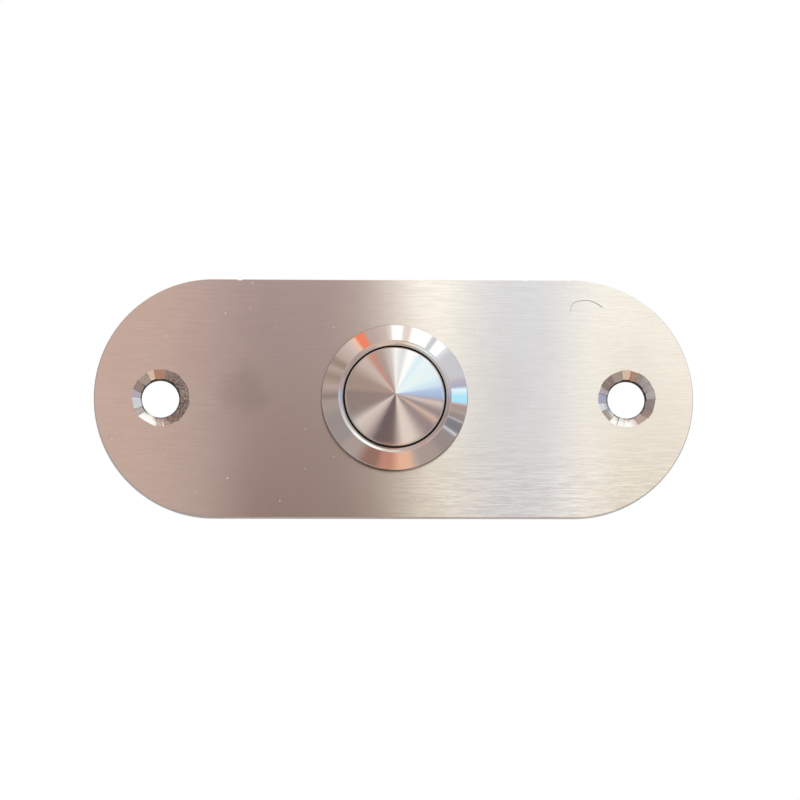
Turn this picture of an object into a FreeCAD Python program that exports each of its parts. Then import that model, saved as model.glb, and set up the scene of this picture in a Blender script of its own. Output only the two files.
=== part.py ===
import FreeCAD, Part
import math
import os

from FreeCAD import Vector

# Doorbell push button: a flush wall plate with a 19 mm metal push switch nutted into it.
# Millimetres. X runs along the plate, Z is up, and the front looks along -Y. The origin is the
# middle of the plate's back face, which lies on the wall.

# Face plate
PLATE_LENGTH = 90.0
PLATE_HEIGHT = 36.0
PLATE_THICKNESS = 2.0
PLATE_EDGE_BREAK = 0.2
SCREW_TO_PLATE_END = 10.0
SCREW_HOLE_DIAMETER = 5.6
COUNTERSINK_DEPTH = 1.5
COUNTERSINK_ANGLE = 90.0
# The countersinks were cut with a chattering tool, so they have flat facets, not a smooth cone
CHATTER_FACETS = 13
BARREL_CLEARANCE = 0.1

# Switch housing: bezel, flange and barrel turned from one bar
BEZEL_HEIGHT = 2.2
RIM_HEIGHT = 1.1
RIM_EDGE_BREAK = 0.12
CREST_INSET = 0.7
INNER_CHAMFER_DEPTH = 0.5
FRONT_BORE_LENGTH = 4.9
STOP_LIP = 0.5
BARREL_WALL = 1.25
FLANGE_OVERHANG = 1.5
BARREL_END_CHAMFER = 0.6
ROLLED_LIP_REACH = 0.75
ROLLED_LIP_THICKNESS = 1.0
# The screw thread is drawn as rings, a little coarser than the real helix, each with few sides
THREAD_START = 0.5
THREAD_RING_PITCH = 1.4
THREAD_DEPTH = 0.55
THREAD_SIDES = 36

# Rubber ring under the flange
GASKET_GROOVE_WIDTH = 1.0
GASKET_GROOVE_DEPTH = 0.75
GASKET_SIDE_CLEARANCE = 0.1

# Locking nut
NUT_WALL = 1.5
NUT_THICKNESS = 3.0
NUT_CORNER_CHAMFER = 0.35
THREAD_CLEARANCE = 0.02

# Button
BUTTON_DIAMETER = 15.0
BUTTON_GAP = 0.25
FACE_PROUD = 0.35
FACE_DOME = 0.15
FACE_THICKNESS = 1.45
FACE_EDGE_CHAMFER = 0.2
CUP_WALL = 2.1
SHOULDER_CLEARANCE = 0.15
SHOULDER_THICKNESS = 1.15
STOP_CLEARANCE = 0.05
BUTTON_TRAVEL = 2.0
BOSS_DIAMETER = 4.4
BOSS_RECESS = 1.8

# Rubber ring round the button
BUTTON_SEAL_SECTION = 1.1
BUTTON_SEAL_LAND = 1.15
SEAL_CLEARANCE = 0.05
SEAL_GROOVE_SPARE = 0.3

# Plunger
PEG_DIAMETER = 2.4
PEG_FIT = 0.02
STEM_DIAMETER = 4.0
STEM_CLEARANCE = 0.15
PLUNGER_FLANGE_DIAMETER = 6.0
PLUNGER_FLANGE_THICKNESS = 0.7
PLUNGER_PLAY = 0.1
BRIDGE_PEG_DIAMETER = 2.8
SNAP_HEAD_DIAMETER = 3.8
SNAP_HEAD_LENGTH = 0.75
SNAP_SLOT_WIDTH = 0.6

# Plunger guide
GUIDE_MARGIN = 2.2
GUIDE_THICKNESS = 1.4
GUIDE_COLLAR_HEIGHT = 1.0
COLLAR_CLEARANCE = 0.3
INNER_CLEARANCE = 0.05

# Springs
RETURN_WIRE = 0.6
RETURN_COIL_CLEARANCE = 0.9
RETURN_TURNS = 6
CONTACT_WIRE = 0.35
CONTACT_COIL_DIAMETER = 4.6
CONTACT_TURNS = 3.5
CONTACT_SPRING_LENGTH = 2.8
SPRING_END_CLEARANCE = 0.02
# The wire is drawn with few sides and the coil with few steps, to keep the facets low
WIRE_SIDES = 6
COIL_STEPS_PER_TURN = 12

# Contact bridge and rivets
BRIDGE_THICKNESS = 0.6
BRIDGE_WIDTH = 3.0
BRIDGE_HUB_DIAMETER = 5.4
BRIDGE_PEG_CLEARANCE = 0.2
CONTACT_TO_LEG = 1.6
CONTACT_DIAMETER = 2.2
RIVET_SHANK_DIAMETER = 1.2
RIVET_TAIL_DIAMETER = 1.8
RIVET_TAIL_THICKNESS = 0.3
RIVET_FIT = 0.02
MOVING_TIP_HEIGHT = 0.55
FIXED_TIP_HEIGHT = 0.5
TIP_CROWN = 0.15
BRIDGE_TRAVEL = 1.5
CLOSING_CLEARANCE = 0.05

# Terminals
STRIP_THICKNESS = 0.8
STRIP_WIDTH = 4.0
STRIP_BEND = 0.25
LEG_INSET = 0.65
SLOT_CLEARANCE = 0.05
INNER_PAD_END = 1.15

# Terminal base
CHAMBER_HALF_HEIGHT = 3.2
CHAMBER_END_CLEARANCE = 0.2
FLOOR_THICKNESS = 3.8
REAR_STEP = 1.6
BARRIER_THICKNESS = 1.2
BARRIER_HEIGHT = 3.5
BARRIER_ROUNDING = 0.4
BASE_SEAL_SECTION = 0.8
BASE_SEAL_INSET = 0.6

# Clamping screws and washers
SCREW_DIAMETER = 2.5
SCREW_LENGTH = 4.0
SCREW_HOLE_SPARE = 0.4
SCREW_HOLE_WALL = 0.45
SCREW_HEAD_DIAMETER = 4.4
SCREW_HEAD_HEIGHT = 1.7
SCREW_HEAD_TAPER = 0.5
CROSS_SLOT_WIDTH = 0.6
CROSS_SLOT_LENGTH = 2.6
CROSS_SLOT_DEPTH = 0.9
WASHER_SIDE = 4.6
WASHER_THICKNESS = 0.7
WASHER_CORNER = 0.6

# Radii, worked out from the button to the rim
button_r = BUTTON_DIAMETER / 2
bore_r = button_r + BUTTON_GAP
crest_r = bore_r + CREST_INSET
chamber_r = bore_r + STOP_LIP
barrel_r = chamber_r + BARREL_WALL
rim_r = barrel_r + FLANGE_OVERHANG
lip_r = chamber_r - ROLLED_LIP_REACH
base_r = chamber_r - INNER_CLEARANCE
base_rear_r = lip_r - INNER_CLEARANCE
cup_r = button_r - CUP_WALL
screw_hole_r = SCREW_HOLE_DIAMETER / 2
return_coil_r = cup_r - RETURN_COIL_CLEARANCE - RETURN_WIRE / 2
contact_coil_r = CONTACT_COIL_DIAMETER / 2

# Depths, worked back from the flange seat on the plate's front face
seat_y = -PLATE_THICKNESS
crest_y = seat_y - BEZEL_HEIGHT
rim_y = seat_y - RIM_HEIGHT
bore_front_y = crest_y + INNER_CHAMFER_DEPTH
stop_y = bore_front_y + FRONT_BORE_LENGTH
face_edge_y = bore_front_y - FACE_PROUD
cup_floor_y = face_edge_y + FACE_THICKNESS
shoulder_front_y = stop_y + STOP_CLEARANCE
shoulder_back_y = shoulder_front_y + SHOULDER_THICKNESS
boss_end_y = shoulder_back_y - BOSS_RECESS
guide_front_y = shoulder_back_y + BUTTON_TRAVEL + GUIDE_MARGIN
guide_back_y = guide_front_y + GUIDE_THICKNESS
flange_front_y = guide_back_y + PLUNGER_PLAY
flange_back_y = flange_front_y + PLUNGER_FLANGE_THICKNESS
bridge_front_y = flange_back_y + CONTACT_SPRING_LENGTH
bridge_back_y = bridge_front_y + BRIDGE_THICKNESS
moving_tip_y = bridge_back_y + MOVING_TIP_HEIGHT
fixed_tip_y = moving_tip_y + BRIDGE_TRAVEL + CLOSING_CLEARANCE
inner_pad_y = fixed_tip_y + FIXED_TIP_HEIGHT
floor_y = inner_pad_y + STRIP_THICKNESS
rear_y = floor_y + FLOOR_THICKNESS
base_shoulder_y = rear_y - REAR_STEP
barrel_end_y = base_shoulder_y + ROLLED_LIP_THICKNESS

# Places along X of what stands either side of the middle
fixing_x = PLATE_LENGTH / 2 - SCREW_TO_PLATE_END
leg_outer_x = base_rear_r - LEG_INSET
leg_inner_x = leg_outer_x - STRIP_THICKNESS
contact_x = leg_inner_x - CONTACT_TO_LEG
clamp_screw_x = leg_inner_x - SLOT_CLEARANCE - SCREW_HOLE_WALL - SCREW_DIAMETER / 2

AXIS = Vector(0, 1, 0)
ORIGIN = Vector(0, 0, 0)
# Two places nearer than this count as one
SAME_PLACE = 1e-6


def turned(corners):
    """Solid turned about the Y axis from a closed outline of (radius, y) corners."""
    points = [Vector(radius, y, 0) for radius, y in corners]
    face = Part.Face(Part.makePolygon(points + points[:1]))
    return face.revolve(ORIGIN, AXIS, 360)


def rod(radius, y_start, y_end, x=0.0):
    """Round rod along the depth, centred at x."""
    return Part.makeCylinder(radius, y_end - y_start, Vector(x, y_start, 0), AXIS)


def block(x_range, y_range, z_half):
    """Box between two x and two y places, centred on the height."""
    corner = Vector(x_range[0], y_range[0], -z_half)
    return Part.makeBox(x_range[1] - x_range[0], y_range[1] - y_range[0], 2 * z_half, corner)


def square_ring(outer_r, section, y_start):
    """Square-cut rubber ring about the Y axis."""
    inner_r = outer_r - section
    y_end = y_start + section
    return turned([(inner_r, y_start), (outer_r, y_start), (outer_r, y_end), (inner_r, y_end)])


def even_corners(radius, sides, y, x=0.0, first_angle=0.0):
    """Corners of an equal-sided outline that faces along the depth."""
    corners = []
    for side in range(sides):
        angle = first_angle + 2 * math.pi * side / sides
        corners.append(Vector(x + radius * math.cos(angle), y, radius * math.sin(angle)))
    return corners


def flat_face(corners):
    return Part.Face(Part.makePolygon(corners + corners[:1]))


def flat_sided(rings):
    """Solid with flat sides from one ring of corners to the next, in order of depth."""
    faces = [flat_face(rings[0]), flat_face(rings[-1])]
    for near, far in zip(rings, rings[1:]):
        for side in range(len(near)):
            # The first corner's predecessor is the last, so the ring closes
            faces.append(flat_face([near[side - 1], near[side], far[side], far[side - 1]]))
    return Part.Solid(Part.Shell(faces))


def coil(coil_r, wire, turns, y_start, y_end):
    """Coil spring about the Y axis with its end faces ground flat."""
    steps = math.ceil(turns * COIL_STEPS_PER_TURN)
    sections = []
    for step in range(steps + 1):
        turn = 2 * math.pi * turns * step / steps
        centre_y = y_start + (y_end - y_start) * step / steps
        corners = []
        for side in range(WIRE_SIDES):
            around = 2 * math.pi * side / WIRE_SIDES
            radius = coil_r + wire / 2 * math.cos(around)
            y = centre_y + wire / 2 * math.sin(around)
            corners.append(Vector(radius * math.cos(turn), y, radius * math.sin(turn)))
        sections.append(Part.makePolygon(corners + corners[:1]))
    spring = Part.makeLoft(sections, True, True)
    return spring.common(rod(2 * coil_r, y_start, y_end))


def other_side(shape):
    """The same piece on the other side of the middle."""
    turned_round = shape.copy()
    turned_round.rotate(ORIGIN, AXIS, 180)
    return turned_round


def edges_along(shape, direction, wanted):
    """Straight edges along a direction whose middle passes a test."""
    found = []
    for edge in shape.Edges:
        if edge.Curve.TypeId != "Part::GeomLine":
            continue
        run = edge.Vertexes[-1].Point - edge.Vertexes[0].Point
        if run.cross(direction).Length < SAME_PLACE and wanted(edge.CenterOfMass):
            found.append(edge)
    return found


def stadium(length, height, y_start, y_end):
    """Flat bar with full-radius ends."""
    radius = height / 2
    straight = length / 2 - radius
    top_left = Vector(-straight, y_start, radius)
    top_right = Vector(straight, y_start, radius)
    low_right = Vector(straight, y_start, -radius)
    low_left = Vector(-straight, y_start, -radius)
    outline = Part.Wire([
        Part.LineSegment(top_left, top_right).toShape(),
        Part.Arc(top_right, Vector(length / 2, y_start, 0), low_right).toShape(),
        Part.LineSegment(low_right, low_left).toShape(),
        Part.Arc(low_left, Vector(-length / 2, y_start, 0), top_left).toShape(),
    ])
    return Part.Face(outline).extrude(Vector(0, y_end - y_start, 0))


def chattered_countersink(x, first_facet_angle):
    """Faceted cutter for one countersink, narrowing from the plate's front face."""
    slope = math.tan(math.radians(COUNTERSINK_ANGLE / 2))
    # Past the screw hole's wall and out of the front face, so the cutter leaves no skin
    overrun = 0.4
    narrow_y = seat_y + COUNTERSINK_DEPTH + overrun
    wide_y = seat_y - overrun
    rings = []
    for y in (narrow_y, wide_y):
        radius = screw_hole_r + (seat_y + COUNTERSINK_DEPTH - y) * slope
        rings.append(even_corners(radius, CHATTER_FACETS, y, x, first_facet_angle))
    return flat_sided(rings)


def face_plate():
    """Flat plate with round ends, a hole for the barrel and two countersunk screw holes."""
    plate = stadium(PLATE_LENGTH, PLATE_HEIGHT, seat_y, 0.0)
    front_edges = [edge for edge in plate.Edges if edge.CenterOfMass.y < seat_y + SAME_PLACE]
    plate = plate.makeChamfer(PLATE_EDGE_BREAK, front_edges)
    plate = plate.cut(rod(barrel_r + BARREL_CLEARANCE, seat_y, 0.0))
    # The two holes were chattered apart, so their facets don't start at the same angle
    for side, first_facet_angle in ((-1, 0.1), (1, 0.3)):
        x = side * fixing_x
        plate = plate.cut(rod(screw_hole_r, seat_y, 0.0, x))
        plate = plate.cut(chattered_countersink(x, first_facet_angle))
    return plate


def switch_housing():
    """Bezel, flange and threaded barrel in one, with the rear edge rolled in over the base."""
    groove_top_y = seat_y - GASKET_GROOVE_DEPTH
    groove_r = barrel_r + GASKET_GROOVE_WIDTH
    outer_lip_r = barrel_r - BARREL_END_CHAMFER
    thread_end_y = barrel_end_y - BARREL_END_CHAMFER
    housing = turned([
        (bore_r, bore_front_y),
        (crest_r, crest_y),
        (rim_r - RIM_EDGE_BREAK, rim_y),
        (rim_r, rim_y + RIM_EDGE_BREAK),
        (rim_r, seat_y),
        (groove_r, seat_y),
        (groove_r, groove_top_y),
        (barrel_r, groove_top_y),
        (barrel_r, thread_end_y),
        (outer_lip_r, barrel_end_y),
        (lip_r, barrel_end_y),
        (lip_r, base_shoulder_y),
        (chamber_r, base_shoulder_y),
        (chamber_r, stop_y),
        (bore_r, stop_y),
    ])
    return housing.cut(thread_cutter(thread_end_y))


def thread_cutter(end_y):
    """What the thread's grooves take off the barrel, up to a depth."""
    grooves = int((end_y - THREAD_START) / THREAD_RING_PITCH)
    # The crests stay just under the barrel's surface, so the cutter leaves no skin on it
    thread_crest_r = barrel_r - THREAD_CLEARANCE
    rings = []
    for step in range(2 * grooves + 1):
        radius = thread_crest_r - THREAD_DEPTH * (step % 2)
        y = THREAD_START + step * THREAD_RING_PITCH / 2
        rings.append(even_corners(radius, THREAD_SIDES, y))
    return rod(rim_r, THREAD_START, y).cut(flat_sided(rings))


def flange_gasket():
    """Rubber ring squeezed flat in the groove under the flange."""
    inner_r = barrel_r + GASKET_SIDE_CLEARANCE
    outer_r = barrel_r + GASKET_GROOVE_WIDTH - GASKET_SIDE_CLEARANCE
    top_y = seat_y - GASKET_GROOVE_DEPTH
    return turned([(inner_r, top_y), (outer_r, top_y), (outer_r, seat_y), (inner_r, seat_y)])


def locking_nut():
    """Thin hexagon nut behind the plate, its corners chamfered on both faces."""
    flat_r = barrel_r + NUT_WALL
    corner_r = flat_r / math.cos(math.pi / 6)
    hexagon = flat_face(even_corners(corner_r, 6, 0)).extrude(Vector(0, NUT_THICKNESS, 0))
    flank = NUT_CORNER_CHAMFER
    chamfer_r = corner_r - flank / math.tan(math.radians(30))
    limits = turned([
        (0, 0),
        (chamfer_r, 0),
        (corner_r, flank),
        (corner_r, NUT_THICKNESS - flank),
        (chamfer_r, NUT_THICKNESS),
        (0, NUT_THICKNESS),
    ])
    bore = rod(barrel_r + THREAD_CLEARANCE, 0, NUT_THICKNESS)
    return hexagon.common(limits).cut(bore)


def button_cap():
    """Turned button: domed face, seal groove, stop shoulder, hollow back and a boss."""
    face_r = button_r - FACE_EDGE_CHAMFER
    groove_front_y = face_edge_y + BUTTON_SEAL_LAND
    groove_back_y = groove_front_y + BUTTON_SEAL_SECTION + SEAL_GROOVE_SPARE
    groove_r = bore_r - BUTTON_SEAL_SECTION - 2 * SEAL_CLEARANCE
    shoulder_r = chamber_r - SHOULDER_CLEARANCE
    body = turned([
        (0, face_edge_y),
        (face_r, face_edge_y),
        (button_r, face_edge_y + FACE_EDGE_CHAMFER),
        (button_r, groove_front_y),
        (groove_r, groove_front_y),
        (groove_r, groove_back_y),
        (button_r, groove_back_y),
        (button_r, shoulder_front_y),
        (shoulder_r, shoulder_front_y),
        (shoulder_r, shoulder_back_y),
        (cup_r, shoulder_back_y),
        (cup_r, cup_floor_y),
        (BOSS_DIAMETER / 2, cup_floor_y),
        (BOSS_DIAMETER / 2, boss_end_y),
        (0, boss_end_y),
    ])
    # The face is a shallow spherical cap
    dome_r = (face_r ** 2 + FACE_DOME ** 2) / (2 * FACE_DOME)
    dome_centre = Vector(0, face_edge_y - FACE_DOME + dome_r, 0)
    dome = Part.makeSphere(dome_r, dome_centre, AXIS).common(
        rod(face_r, face_edge_y - 2 * FACE_DOME, face_edge_y))
    cap = body.fuse(dome).removeSplitter()
    return cap.cut(rod(PEG_DIAMETER / 2, cup_floor_y, boss_end_y))


def button_seal():
    """Rubber ring in the button's groove, just inside the bore."""
    front_y = face_edge_y + BUTTON_SEAL_LAND + SEAL_GROOVE_SPARE / 2
    return square_ring(bore_r - SEAL_CLEARANCE, BUTTON_SEAL_SECTION, front_y)


def plunger():
    """Moulded pin from the button's boss to the bridge, with a flange and a split snap head."""
    peg_r = PEG_DIAMETER / 2 - PEG_FIT
    stem_r = STEM_DIAMETER / 2
    flange_r = PLUNGER_FLANGE_DIAMETER / 2
    bridge_peg_r = BRIDGE_PEG_DIAMETER / 2
    snap_r = SNAP_HEAD_DIAMETER / 2
    head_front_y = bridge_back_y + INNER_CLEARANCE
    head_back_y = head_front_y + SNAP_HEAD_LENGTH
    body = turned([
        (0, cup_floor_y + PLUNGER_PLAY),
        (peg_r, cup_floor_y + PLUNGER_PLAY),
        (peg_r, boss_end_y),
        (stem_r, boss_end_y),
        (stem_r, flange_front_y),
        (flange_r, flange_front_y),
        (flange_r, flange_back_y),
        (bridge_peg_r, flange_back_y),
        (bridge_peg_r, head_front_y),
        (snap_r, head_front_y),
        (bridge_peg_r, head_back_y),
        (0, head_back_y),
    ])
    slot = block((-SNAP_SLOT_WIDTH / 2, SNAP_SLOT_WIDTH / 2), (bridge_front_y, head_back_y), snap_r)
    return body.cut(slot)


def return_spring():
    """Spring between the floor of the button's cup and the guide."""
    back_y = guide_front_y - SPRING_END_CLEARANCE
    return coil(return_coil_r, RETURN_WIRE, RETURN_TURNS, cup_floor_y, back_y)


def plunger_guide():
    """Disc on the front of the base, with the plunger's hole and a collar inside the spring."""
    hole_r = STEM_DIAMETER / 2 + STEM_CLEARANCE
    collar_r = return_coil_r - RETURN_WIRE / 2 - COLLAR_CLEARANCE
    collar_y = guide_front_y - GUIDE_COLLAR_HEIGHT
    return turned([
        (hole_r, collar_y),
        (collar_r, collar_y),
        (collar_r, guide_front_y),
        (base_r, guide_front_y),
        (base_r, guide_back_y),
        (hole_r, guide_back_y),
    ])


def contact_spring():
    """Small spring between the plunger's flange and the bridge."""
    front_y = flange_back_y + SPRING_END_CLEARANCE
    return coil(contact_coil_r, CONTACT_WIRE, CONTACT_TURNS, front_y, bridge_front_y)


def contact_bridge():
    """Brass bar with a round middle, a hole for the plunger and a rivet hole at each end."""
    end_x = contact_x + CONTACT_DIAMETER / 2 + INNER_CLEARANCE
    bar = stadium(2 * end_x, BRIDGE_WIDTH, bridge_front_y, bridge_back_y)
    bridge = bar.fuse(rod(BRIDGE_HUB_DIAMETER / 2, bridge_front_y, bridge_back_y))
    peg_hole_r = BRIDGE_PEG_DIAMETER / 2 + BRIDGE_PEG_CLEARANCE
    bridge = bridge.cut(rod(peg_hole_r, bridge_front_y, bridge_back_y))
    rivet_hole_r = RIVET_SHANK_DIAMETER / 2 + RIVET_FIT
    for side in (-1, 1):
        bridge = bridge.cut(rod(rivet_hole_r, bridge_front_y, bridge_back_y, side * contact_x))
    return bridge.removeSplitter()


def rivet(tip_y, face_y, back_y):
    """Outline of a contact rivet: crowned head from tip to face, then the shank to the back."""
    toward_tail = 1 if face_y > tip_y else -1
    crown_r = CONTACT_DIAMETER / 2
    corners = [
        (0, tip_y),
        (crown_r / 2, tip_y),
        (crown_r, tip_y + toward_tail * TIP_CROWN),
        (crown_r, face_y),
        (RIVET_SHANK_DIAMETER / 2, face_y),
        (RIVET_SHANK_DIAMETER / 2, back_y),
    ]
    return corners, toward_tail


def bridge_contact():
    """Right rivet of the bridge: head behind, tail formed over in front."""
    corners, toward_tail = rivet(moving_tip_y, bridge_back_y, bridge_front_y)
    tail_y = bridge_front_y + toward_tail * RIVET_TAIL_THICKNESS
    corners += [(RIVET_TAIL_DIAMETER / 2, bridge_front_y), (RIVET_TAIL_DIAMETER / 2, tail_y), (0, tail_y)]
    contact = turned(corners)
    contact.translate(Vector(contact_x, 0, 0))
    return contact


def fixed_contact():
    """Right rivet of the terminals, its shank pressed through the inner pad."""
    corners, _ = rivet(fixed_tip_y, inner_pad_y, floor_y)
    contact = turned(corners + [(0, floor_y)])
    contact.translate(Vector(contact_x, 0, 0))
    return contact


def terminal():
    """Right brass strip: pad in the chamber, leg through the base, pad under the washer."""
    outer_pad_back_y = rear_y + STRIP_THICKNESS
    pad_end_x = clamp_screw_x - WASHER_SIDE / 2
    inner_end_x = contact_x - INNER_PAD_END
    strip_half = STRIP_WIDTH / 2
    strip = block((inner_end_x, leg_outer_x), (inner_pad_y, floor_y), strip_half)
    strip = strip.fuse(block((leg_inner_x, leg_outer_x), (inner_pad_y, outer_pad_back_y), strip_half))
    strip = strip.fuse(block((pad_end_x, leg_outer_x), (rear_y, outer_pad_back_y), strip_half))
    strip = strip.removeSplitter()
    outer_bends = edges_along(strip, Vector(0, 0, 1), lambda middle: middle.x > leg_outer_x - SAME_PLACE)
    strip = strip.makeFillet(STRIP_THICKNESS + STRIP_BEND, outer_bends)
    strip = strip.cut(rod(RIVET_SHANK_DIAMETER / 2 + RIVET_FIT, inner_pad_y, floor_y, contact_x))
    clear_r = SCREW_DIAMETER / 2 + RIVET_FIT
    return strip.cut(rod(clear_r, rear_y, outer_pad_back_y, clamp_screw_x))


def terminal_base():
    """Moulded cup: chamber, stepped rear, seal groove, strip slots, screw holes and barrier."""
    seal_back_y = base_shoulder_y - BASE_SEAL_INSET
    seal_front_y = seal_back_y - BASE_SEAL_SECTION - SEAL_GROOVE_SPARE
    seal_groove_r = chamber_r - BASE_SEAL_SECTION - 2 * SEAL_CLEARANCE
    base = turned([
        (0, guide_back_y),
        (base_r, guide_back_y),
        (base_r, seal_front_y),
        (seal_groove_r, seal_front_y),
        (seal_groove_r, seal_back_y),
        (base_r, seal_back_y),
        (base_r, base_shoulder_y),
        (base_rear_r, base_shoulder_y),
        (base_rear_r, rear_y),
        (0, rear_y),
    ])
    barrier_back_y = rear_y + BARRIER_HEIGHT
    barrier_half = BARRIER_THICKNESS / 2
    barrier = block((-barrier_half, barrier_half), (rear_y, barrier_back_y), base_r)
    barrier = barrier.common(rod(base_rear_r - INNER_CLEARANCE, rear_y, barrier_back_y))
    crest_edges = edges_along(barrier, Vector(0, 0, 1), lambda middle: middle.y > barrier_back_y - SAME_PLACE)
    barrier = barrier.makeFillet(BARRIER_ROUNDING, crest_edges)
    base = base.fuse(barrier)
    chamber_end_x = leg_outer_x + CHAMBER_END_CLEARANCE
    chamber = block((-chamber_end_x, chamber_end_x), (guide_back_y, floor_y), CHAMBER_HALF_HEIGHT)
    base = base.cut(chamber)
    slot_range = (leg_inner_x - SLOT_CLEARANCE, leg_outer_x + SLOT_CLEARANCE)
    slot = block(slot_range, (floor_y, rear_y), STRIP_WIDTH / 2 + SLOT_CLEARANCE)
    hole_end_y = rear_y + STRIP_THICKNESS + WASHER_THICKNESS - SCREW_LENGTH - SCREW_HOLE_SPARE
    screw_hole = rod(SCREW_DIAMETER / 2 + THREAD_CLEARANCE, hole_end_y, rear_y, clamp_screw_x)
    for opening in (slot, screw_hole):
        base = base.cut(opening)
        base = base.cut(other_side(opening))
    return base


def base_seal():
    """Rubber ring that keeps water out between the base and the barrel."""
    back_y = base_shoulder_y - BASE_SEAL_INSET - SEAL_GROOVE_SPARE / 2
    return square_ring(chamber_r - SEAL_CLEARANCE, BASE_SEAL_SECTION, back_y - BASE_SEAL_SECTION)


def clamp_washer():
    """Right square washer between the strip's rear pad and the screw head."""
    front_y = rear_y + STRIP_THICKNESS
    half = WASHER_SIDE / 2
    x_range = (clamp_screw_x - half, clamp_screw_x + half)
    washer = block(x_range, (front_y, front_y + WASHER_THICKNESS), half)
    washer = washer.makeChamfer(WASHER_CORNER, edges_along(washer, AXIS, lambda middle: True))
    hole_r = SCREW_DIAMETER / 2 + STEM_CLEARANCE
    return washer.cut(rod(hole_r, front_y, front_y + WASHER_THICKNESS, clamp_screw_x))


def terminal_screw():
    """Right pan-head screw with a cross recess."""
    head_front_y = rear_y + STRIP_THICKNESS + WASHER_THICKNESS
    head_back_y = head_front_y + SCREW_HEAD_HEIGHT
    head_r = SCREW_HEAD_DIAMETER / 2
    shank_r = SCREW_DIAMETER / 2
    tip_y = head_front_y - SCREW_LENGTH
    screw = turned([
        (0, tip_y),
        (shank_r, tip_y),
        (shank_r, head_front_y),
        (head_r, head_front_y),
        (head_r, head_back_y - SCREW_HEAD_TAPER),
        (head_r - SCREW_HEAD_TAPER, head_back_y),
        (0, head_back_y),
    ])
    recess_range = (head_back_y - CROSS_SLOT_DEPTH, head_back_y)
    for length, width in ((CROSS_SLOT_LENGTH, CROSS_SLOT_WIDTH), (CROSS_SLOT_WIDTH, CROSS_SLOT_LENGTH)):
        screw = screw.cut(block((-length / 2, length / 2), recess_range, width / 2))
    screw.translate(Vector(clamp_screw_x, 0, 0))
    return screw


def build():
    """Every piece of the button, by name."""
    pieces = {
        "face_plate": face_plate(),
        "switch_housing": switch_housing(),
        "flange_gasket": flange_gasket(),
        "locking_nut": locking_nut(),
        "button_cap": button_cap(),
        "button_seal": button_seal(),
        "plunger": plunger(),
        "return_spring": return_spring(),
        "plunger_guide": plunger_guide(),
        "contact_spring": contact_spring(),
        "contact_bridge": contact_bridge(),
        "terminal_base": terminal_base(),
        "base_seal": base_seal(),
    }
    right_hand = {
        "bridge_contact": bridge_contact(),
        "fixed_contact": fixed_contact(),
        "terminal": terminal(),
        "clamp_washer": clamp_washer(),
        "terminal_screw": terminal_screw(),
    }
    for name, shape in right_hand.items():
        pieces[name + "_right"] = shape
        pieces[name + "_left"] = other_side(shape)
    return pieces


os.makedirs("parts", exist_ok=True)
for piece_name, piece in build().items():
    piece.exportStep("parts/" + piece_name + ".step")
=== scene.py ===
"""Looks of a doorbell push button: a brushed plate with round ends and a turned steel button.

Metres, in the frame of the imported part: X along the plate, Z up, and the front looks along -Y.
"""
import math

import bmesh
import bpy
from mathutils import Matrix, Vector


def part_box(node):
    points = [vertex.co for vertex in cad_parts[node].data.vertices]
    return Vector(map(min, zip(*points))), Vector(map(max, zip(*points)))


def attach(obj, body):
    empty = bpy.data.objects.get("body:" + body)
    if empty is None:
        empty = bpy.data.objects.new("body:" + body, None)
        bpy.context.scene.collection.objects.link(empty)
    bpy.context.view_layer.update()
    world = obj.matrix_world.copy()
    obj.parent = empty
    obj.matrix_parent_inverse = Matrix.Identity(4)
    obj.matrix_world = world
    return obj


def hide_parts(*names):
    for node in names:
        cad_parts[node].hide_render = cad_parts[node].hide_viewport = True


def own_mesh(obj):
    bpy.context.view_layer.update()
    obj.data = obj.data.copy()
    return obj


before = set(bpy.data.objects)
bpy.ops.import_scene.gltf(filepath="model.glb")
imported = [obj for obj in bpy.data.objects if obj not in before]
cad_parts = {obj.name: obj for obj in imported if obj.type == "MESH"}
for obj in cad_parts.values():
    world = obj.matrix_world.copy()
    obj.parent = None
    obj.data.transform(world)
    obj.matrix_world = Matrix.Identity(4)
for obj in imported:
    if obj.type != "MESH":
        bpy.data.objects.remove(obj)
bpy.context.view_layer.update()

MM = 0.001
DEPTH_AXIS = (0, 1, 0)
ORIGIN = (0, 0, 0)

# Sizes read from the frame
plate_low, plate_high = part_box("face_plate")
housing_low, housing_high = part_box("switch_housing")
return_low, return_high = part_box("return_spring")
contact_low, contact_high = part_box("contact_spring")
plate_front = plate_low.y
plate_back = plate_high.y
plate_half_length = plate_high.x
plate_end_r = plate_high.z
plate_straight = plate_half_length - plate_end_r
rim_r = housing_high.x
crest_y = housing_low.y
barrel_end_y = housing_high.y

# Sizes of the turned pieces that a box doesn't tell
FIXING_X = 35.0 * MM
SCREW_HOLE_R = 2.8 * MM
COUNTERSINK_R = 4.3 * MM
COUNTERSINK_DEPTH = 1.5 * MM
BARREL_HOLE_R = 9.6 * MM
PLATE_EDGE_ROUND = 0.12 * MM
BARREL_R = 9.5 * MM
THREAD_ROOT_R = 8.95 * MM
THREAD_PITCH = 1.0 * MM
BORE_R = 7.75 * MM
CREST_R = 8.45 * MM
CHAMBER_R = 8.25 * MM
BUTTON_R = 7.5 * MM
CUP_R = 5.4 * MM
RETURN_WIRE = 0.6 * MM
RETURN_TURNS = 6
CONTACT_WIRE = 0.35 * MM
CONTACT_TURNS = 3.5
LARGE_ROUND = 0.08 * MM
SMALL_ROUND = 0.06 * MM

# Vertices closer than this are one
SAME_PLACE = 0.0005 * MM

# Grooved steel spreads its reflections across the grooves, a quarter turn from their direction
GROOVED = 0.95
ACROSS_GROOVES = 0.25
# Brushing: noise cells to the metre across and along it, and the height of its fine and broad rows
BRUSH_FINENESS = 13000.0
BRUSH_RUN = 420.0
FINE_ROW = 0.09 * MM
BROAD_ROW = 0.21 * MM
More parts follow.
